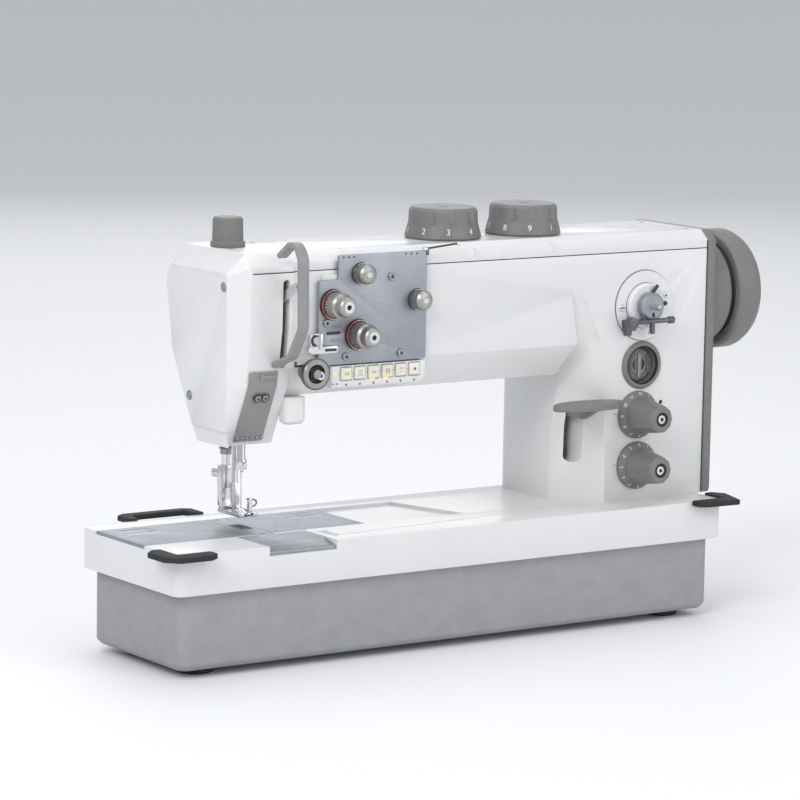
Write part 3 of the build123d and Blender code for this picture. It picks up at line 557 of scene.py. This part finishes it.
def makeButtonTrim():
    shadowsAndTicks, lit, dots = bmesh.new(), bmesh.new(), bmesh.new()
    face, half = buttons["face"], buttons["half"]
    for index in range(6):
        x, z = buttons["first"] + index * buttons["pitch"], buttons["z"]
        # thin dark bars round each button are painted shadow, wider at the bottom and right; the short bar
        # at the left is a printed tick
        bar(shadowsAndTicks, (x - half, face - 0.08, z - half - 0.5), (x + half + 0.5, face, z - half))
        bar(shadowsAndTicks, (x + half, face - 0.08, z - half), (x + half + 0.5, face, z + half))
        bar(shadowsAndTicks, (x - half - 0.3, face - 0.08, z - half), (x - half, face, z + half))
        bar(shadowsAndTicks, (x - half, face - 0.08, z + half), (x + half, face, z + half + 0.3))
        bar(shadowsAndTicks, (x - half - 1.6, face - 0.08, z - 0.3), (x - half - 0.4, face, z + 0.3))
        stud(dots, at(x + 0.6, face, buttons["dot"]), front, 1.05, 0.12, steps=16)
        if index in buttons["lit"]:
            bar(lit, (x - 3.6, face - 0.2, z - half - 1), (x + 1.8, face, z - half + 0.6))
    for x in (178.4, 182.4):
        stud(dots, at(x, face, 131.6), front, 0.8, 0.12, steps=12)
    stud(lit, at(180.2, face, 140.6), front, 1.4, 0.5, 1.0)
    makePiece("buttonShadowsAndTicks", shadowsAndTicks, slate, "button_panel")
    makePiece("buttonDots", dots, slate, "button_panel")
    makePiece("buttonLights", lit, amber, "button_panel")
    # each button carries its own small sign, made of plain strokes
    strokes = (
        ((-2.4, -0.9, 2.4, -0.4), (-2.4, 0.6, 2.4, 1.1)),
        ((-2.2, -2.2, 2.2, -1.7), (-2.2, -0.3, 2.2, 0.2), (-2.2, 1.7, 2.2, 2.2)),
        ((-2.4, -0.3, 2.4, 0.3), (-0.3, 1.2, 0.3, 1.8), (-0.3, -1.8, 0.3, -1.2)),
        ((-1.9, -2.2, -1.4, 2.2), (-0.3, -2.2, 0.3, 2.2), (1.4, -2.2, 1.9, 2.2)),
        ((-2.2, 1.2, 2.2, 1.7), (-0.9, -1.8, -0.3, -1.2), (0.6, -1.8, 1.2, -1.2)),
        ((-1.2, -1.2, 1.2, 1.2),),
    )
    for index, parts in enumerate(strokes):
        x, z = buttons["first"] + index * buttons["pitch"], buttons["z"]
        shape = bmesh.new()
        for x1, z1, x2, z2 in parts:
            bar(shape, (x + x1, buttons["top"] - 0.06, z + z1), (x + x2, buttons["top"] + 0.02, z + z2))
        makePiece(f"buttonSign{index + 1}", shape, slate, f"push_button_{index + 1}")


makeButtonTrim()
print("tension unit and buttons are in")

# numbers round the dials
strokeDials = {
    "left_stroke_dial": {"place": (334, 93), "shown": 3, "turned": -116},
    "right_stroke_dial": {"place": (423, 92), "shown": 9, "turned": -115},
    "foot": 249.3, "tall": 28, "radius": 33.5, "height": 7.2, "size": 7.6, "count": 9,
    "slope": (11.5, 3.0),
}
stitchDials = {
    "upper_stitch_dial": {"z": 80.3, "shown": 9, "step": -30},
    "lower_stitch_dial": {"z": 32.6, "shown": 5, "step": 30},
    "x": 521, "end": 1.5, "face": 35.1, "radius": 19.8, "size": 4.2, "count": 12, "slope": (4.0, 4.8),
}


def markStrokeDials():
    out, rise = strokeDials["slope"]
    steep = math.hypot(out, rise)
    for node in ("left_stroke_dial", "right_stroke_dial"):
        look = strokeDials[node]
        x, y = look["place"]
        shape = bmesh.new()
        for digit in range(1, strokeDials["count"] + 1):
            angle = math.radians(look["turned"] + 40 * (digit - look["shown"]))
            away = Vector((math.cos(angle), math.sin(angle), 0))
            across = up.cross(away)
            face = (away * out + up * rise) / steep
            spot = at(x, y, strokeDials["foot"] + strokeDials["height"]) + away * strokeDials["radius"] * mm
            number(shape, str(digit), strokeDials["size"], spot + face * 0.05 * mm, across,
                   face.cross(across))
        makePiece(node + "_numbers", shape, chalk, node)
        shape = bmesh.new()
        stud(shape, at(x, y, strokeDials["foot"] + strokeDials["tall"]), up, 4.4, 0.15)
        makePiece(node + "_cap", shape, slate, node)


def markStitchDials():
    out, forward = stitchDials["slope"]
    steep = math.hypot(out, forward)
    for node in ("upper_stitch_dial", "lower_stitch_dial"):
        look = stitchDials[node]
        x, z = stitchDials["x"], look["z"]
        shape = bmesh.new()
        for digit in range(1, stitchDials["count"] + 1):
            angle = math.radians(180 + look["step"] * (digit - look["shown"]))
            away = Vector((math.cos(angle), 0, math.sin(angle)))
            face = (away * out + front * forward) / steep
            across = Vector((math.sin(angle), 0, -math.cos(angle)))
            spot = at(x, stitchDials["face"], z) + away * stitchDials["radius"] * mm
            number(shape, str(digit), stitchDials["size"], spot + face * 0.05 * mm, across,
                   face.cross(across))
        makePiece(node + "_numbers", shape, chalk, node)
        # the black ring round the end screw and the black flat on it are painted shade in the screw's well
        # and socket
        shape = bmesh.new()
        end = stitchDials["end"]
        ring(shape, at(x, end + 0.05, z), front, 4.6, 6.7, 0.15)
        makePiece(node + "_well", shape, black, node)
        heads, recesses = bmesh.new(), bmesh.new()
        screwHead(heads, recesses, at(x, end + 1.1, z), front, 4.6, 0.8)
        makePiece(node + "_screw", heads, paint["bright_steel"], node, bevel=0.4)
        makePiece(node + "_socket", recesses, black, node)


markStrokeDials()
markStitchDials()

# the small marks on the casting and cover that the dials are read against
pointers = {"dot": (548.7, 90.1), "tick": (495.6, 34.2), "ribs": (334, 421)}


def makePointers():
    x, z = pointers["dot"]
    shape = bmesh.new()
    stud(shape, at(x, 40, z), front, 1.9, 0.2)
    makePiece("dialDot", shape, black, "arm_casting")
    x, z = pointers["tick"]
    shape = bmesh.new()
    bar(shape, (x - 1.6, 39.92, z - 0.3), (x + 1.6, 40.05, z + 0.3))
    bar(shape, (x - 1.6, 39.92, z + 47.4), (x + 1.6, 40.05, z + 48))
    makePiece("dialTicks", shape, slate, "arm_casting")
    shape = bmesh.new()
    for x in pointers["ribs"]:
        bar(shape, (x - 1.2, 38.6, 237), (x + 1.2, 46, 244))
    makePiece("dialRibs", shape, paint["cover_paint"], "arm_top_cover", bevel=0.8)


makePointers()
print("dials are marked")

# winder: painted shade round the plate's edge and its white ring, screws, bobbin pin, bracket, knife and
# small lever
winder = {"place": (525.5, 182.3), "face": 38.4}


def makeWinderTrim():
    x, z = winder["place"]
    shape = bmesh.new()
    # the thin dark rings are painted shade along the plate's edge and along the edge of its white ring
    ring(shape, at(x, 40, z), front, 32.4, 33.2, 0.5, 72)
    ring(shape, at(x, 38.45, z), front, 21, 21.5, 0.3, 64)
    makePiece("winderEdgeShade", shape, slate, "winder_plate")
    heads, recesses = bmesh.new(), bmesh.new()
    screwHead(heads, recesses, at(x - 26.5, winder["face"], z - 1), front, 3.5, 1.2, True)
    screwHead(heads, recesses, at(x + 24, winder["face"], z + 8), front, 2.6, 1.2)
    makePiece("winderScrews", heads, paint["bright_steel"], "winder_plate", bevel=0.3)
    bracket = bmesh.new()
    bar(bracket, (x - 26, 31, z - 22), (x - 14, 38.4, z - 12))
    bar(bracket, (x - 24, 34, z - 27), (x - 17, 38.4, z - 21))
    makePiece("winderBracket", bracket, paint["dark_steel"], "winder_plate", bevel=0.8)
    knife = bmesh.new()
    stud(knife, at(x - 20, 31, z - 16), front, 2.6, 1)
    bar(knife, (x - 12, 30, z - 15), (x - 4, 33, z - 11))
    stud(knife, at(x + 1, 30, z - 14), -up, 1.5, 11)
    stud(knife, at(x + 1, 30, z - 24), -up, 2.4, 2.4)
    makePiece("winderKnife", knife, paint["bright_steel"], "winder_plate", bevel=0.3)
    # the black disc on the knife screw is painted shade in its recess
    stud(recesses, at(x - 20, 29.95, z - 16), front, 1.1, 0.1)
    makePiece("winderRecesses", recesses, black, "winder_plate")
    lever = bmesh.new()
    stud(lever, at(x + 4, 32, z + 12), Vector((0.45, -0.3, 0.84)), 1.7, 9)
    stud(lever, at(x + 14, 34, z - 1), Vector((0.85, -0.3, 0.42)), 2.0, 8)
    makePiece("winderStop", lever, shadeAndDarkPaint, "winder_plate", bevel=0.5)
    pin = bmesh.new()
    turn(pin, ((0, 11.2), (1.4, 11.2), (1.4, 11.9), (2.2, 11.9), (2.8, 11.2), (2.8, 0), (0, 0)),
         at(x, 24.45, z), front, 32)
    makePiece("winderPin", pin, paint["bright_steel"], "winder_spindle")
    # the black disc at the pin's end and the black bar on the disc are painted shade in a hole and a slot
    hole = bmesh.new()
    stud(hole, at(x, 13.25, z), front, 1.3, 0.15)
    bar(hole, (x - 1.2, 24.3, z - 9.4), (x + 1.2, 24.45, z - 5.4))
    makePiece("winderPinHole", hole, black, "winder_spindle")


makeWinderTrim()

# oil sight: ribbed dial behind the glass, with a bright stem and dark windows beside it
oilSight = {"place": (524.5, 126.5), "back": 47, "ribs": 9}


def makeOilSight():
    x, z = oilSight["place"]
    back = oilSight["back"]
    shape = bmesh.new()
    stud(shape, at(x, back, z), front, 17, 1.2, steps=48)
    makePiece("sightBack", shape, black, "oil_sight_bezel")
    shape = bmesh.new()
    ring(shape, at(x, back - 1.2, z), front, 8.2, 14.4, 1.4)
    for step in range(oilSight["ribs"]):
        height = (step - (oilSight["ribs"] - 1) / 2) * 2.0
        for side in (-1, 1):
            bar(shape, (x + side * 11.4 - 3, back - 4.2, z + height - 0.5),
                (x + side * 11.4 + 3, back - 2.4, z + height + 0.5))
    makePiece("sightRibs", shape, slate, "oil_sight_bezel")
    shape = bmesh.new()
    bar(shape, (x - 1.7, back - 4.6, z - 11.5), (x + 1.7, back - 2.4, z + 10))
    ring(shape, at(x, back - 1.2, z), front, 7.2, 8.4, 2.2)
    makePiece("sightStem", shape, paint["bearing_metal"], "oil_sight_bezel", bevel=0.4)
    shape = bmesh.new()
    ring(shape, at(x, 39.6, z), front, 16.6, 18.15, 2.0, 64)
    makePiece("sightRim", shape, black, "oil_sight_bezel")


makeOilSight()
print("winder and oil sight are in")

# adjusting screws, hook and lamp row on the plate at the head's front
sidePlate = {"screws": (108, 115.6), "screwHeight": 122.4, "bend": (43.6, 132.5), "slope": 0.46, "skin": 2.0,
             "hook": (109.5, 39.8, 141.5),
             "lamps": 6, "lampFirst": (99.5, 65.0, 84.6), "lampPitch": 5.0}
plateOut = Vector((0, -0.908, -0.418))


def makeSidePlateTrim():
    heads, recesses = bmesh.new(), bmesh.new()
    bendY, bendZ = sidePlate["bend"]
    z = sidePlate["screwHeight"]
    for x in sidePlate["screws"]:
        spot = at(x, bendY + (bendZ - z) * sidePlate["slope"] - sidePlate["skin"], z)
        # the dark disc under each screw head is painted shade in the recess round it, and the dark flat on
        # the head is painted shade in its socket
        stud(recesses, spot, plateOut, 4.3, 0.5)
        screwHead(heads, recesses, spot + plateOut * 0.5 * mm, plateOut, 3.2, 0.9)
    x, y, z = sidePlate["hook"]
    stud(heads, at(x, y + 2.2, z), front, 2.6, 1.8)
    bar(heads, (x, y, z - 1.3), (x + 14, y + 2.4, z + 1.3))
    makePiece("sidePlateScrews", heads, paint["guard_metal"], "head_side_plate", bevel=0.3)
    makePiece("sidePlateRecesses", recesses, shadeAndDarkPaint, "head_side_plate")
    shape = bmesh.new()
    x, y, z = sidePlate["lampFirst"]
    for step in range(sidePlate["lamps"]):
        stud(shape, at(x + step * sidePlate["lampPitch"], y, z), plateOut, 1.5, 1.2, 0.8, 12)
    makePiece("sidePlateLamps", shape, paint["bearing_metal"], "head_side_plate")


makeSidePlateTrim()

# needle area: presser spring, finger guard with its lug, and thread eye
footPlaces = {"needle": (122.2, 95), "presser": 121}
guardLoop = ((124, 88, 25.9), (131.9, 88, 25.4), (134.8, 88, 22.3), (132.1, 88, 18.6), (124.8, 88, 18.3))


def makeFootTrim():
    x, y = footPlaces["needle"]
    wire("fingerGuard", guardLoop, 0.7, paint["dark_steel"], "presser_foot")
    lug = bmesh.new()
    bar(lug, (x + 2.8, 85.2, 12), (x + 6.4, 89.2, 27))
    bar(lug, (x + 4.2, 84, 12.6), (x + 9.2, 96, 16.4))
    bar(lug, (x - 9.2, 84, 12.6), (x - 4.2, 96, 16.4))
    makePiece("guardLug", lug, paint["bright_steel"], "presser_foot", bevel=0.7)
    eye = bmesh.new()
    stud(eye, at(x - 1.5, y - 3.4, 52.5), -up, 1.8, 1.6)
    stud(eye, at(x - 1.5, y - 3.4, 50.9), -up, 1.8, 1.1, 0.8)
    makePiece("threadEye", eye, paint["bright_steel"], "needle_bar", bevel=0.3)
    coil("presserSpring", x, footPlaces["presser"], 66, 92, 5.9, 0.7, 8, paint["dark_steel"], "arm_casting")


makeFootTrim()

# finger grips printed on the slides, and painted shade for the small holes in the right one
grips = {"left_slide_plate": (14, 106), "right_slide_plate": (184, 108), "columns": 12, "pitch": 2.8,
         "rows": 2, "length": 7.5}
plateHoles = ((131.69, 63.891), (137.828, 61.659), (142.943, 57.846), (179.399, 89.652),
              (164.612, 56.265), (153.08, 85.56))


def makeGrips():
    for node in ("left_slide_plate", "right_slide_plate"):
        x, y = grips[node]
        shape = bmesh.new()
        for row in range(grips["rows"]):
            for column in range(grips["columns"]):
                corner = x + column * grips["pitch"]
                foot = y + row * (grips["length"] + 4)
                bar(shape, (corner, foot, -0.02), (corner + 1, foot + grips["length"], 0.06))
        makePiece(node + "_grips", shape, chalk, node)
    # the dark discs on the right slide are painted shade standing for its small holes
    shape = bmesh.new()
    for x, y in plateHoles:
        stud(shape, at(x, y, -0.05), up, 1.3, 0.09, steps=12)
    makePiece("slideHoles", shape, shadeAndDarkPaint, "right_slide_plate")


makeGrips()

# small fittings: the pedal's screws and the dots on the cover
fittings = {"pedalScrew": (466, 36, 89), "coverTop": 249,
            "coverDots": ((150, 70), (152, 128), (590, 60), (590, 128))}


def makeFittings():
    shape = bmesh.new()
    x, y, z = fittings["pedalScrew"]
    stud(shape, at(x, y, z + 3), -up, 3.2, 3.6)
    stud(shape, at(x + 7, y + 2, z + 3), -up, 2.0, 3.0)
    makePiece("pedalScrews", shape, paint["bright_steel"], "reverse_lever", bevel=0.4)
    shape = bmesh.new()
    for x, y in fittings["coverDots"]:
        stud(shape, at(x, y, fittings["coverTop"]), up, 2.0, 0.12)
    makePiece("coverDots", shape, slate, "arm_top_cover")


makeFittings()
print("small fittings are in")

floorLook = {"half": 45, "colour": (0.84, 0.845, 0.85), "roughness": 0.7}
floorShape = bmesh.new()
bmesh.ops.create_grid(floorShape, x_segments=1, y_segments=1, size=floorLook["half"])
floorMesh = bpy.data.meshes.new("floor")
floorShape.to_mesh(floorMesh)
floorShape.free()
floorMesh.materials.append(newMaterial("paleFloor", floorLook["colour"], floorLook["roughness"])[0])
floorPiece = bpy.data.objects.new("floor", floorMesh)
scene.collection.objects.link(floorPiece)
print("floor is in")
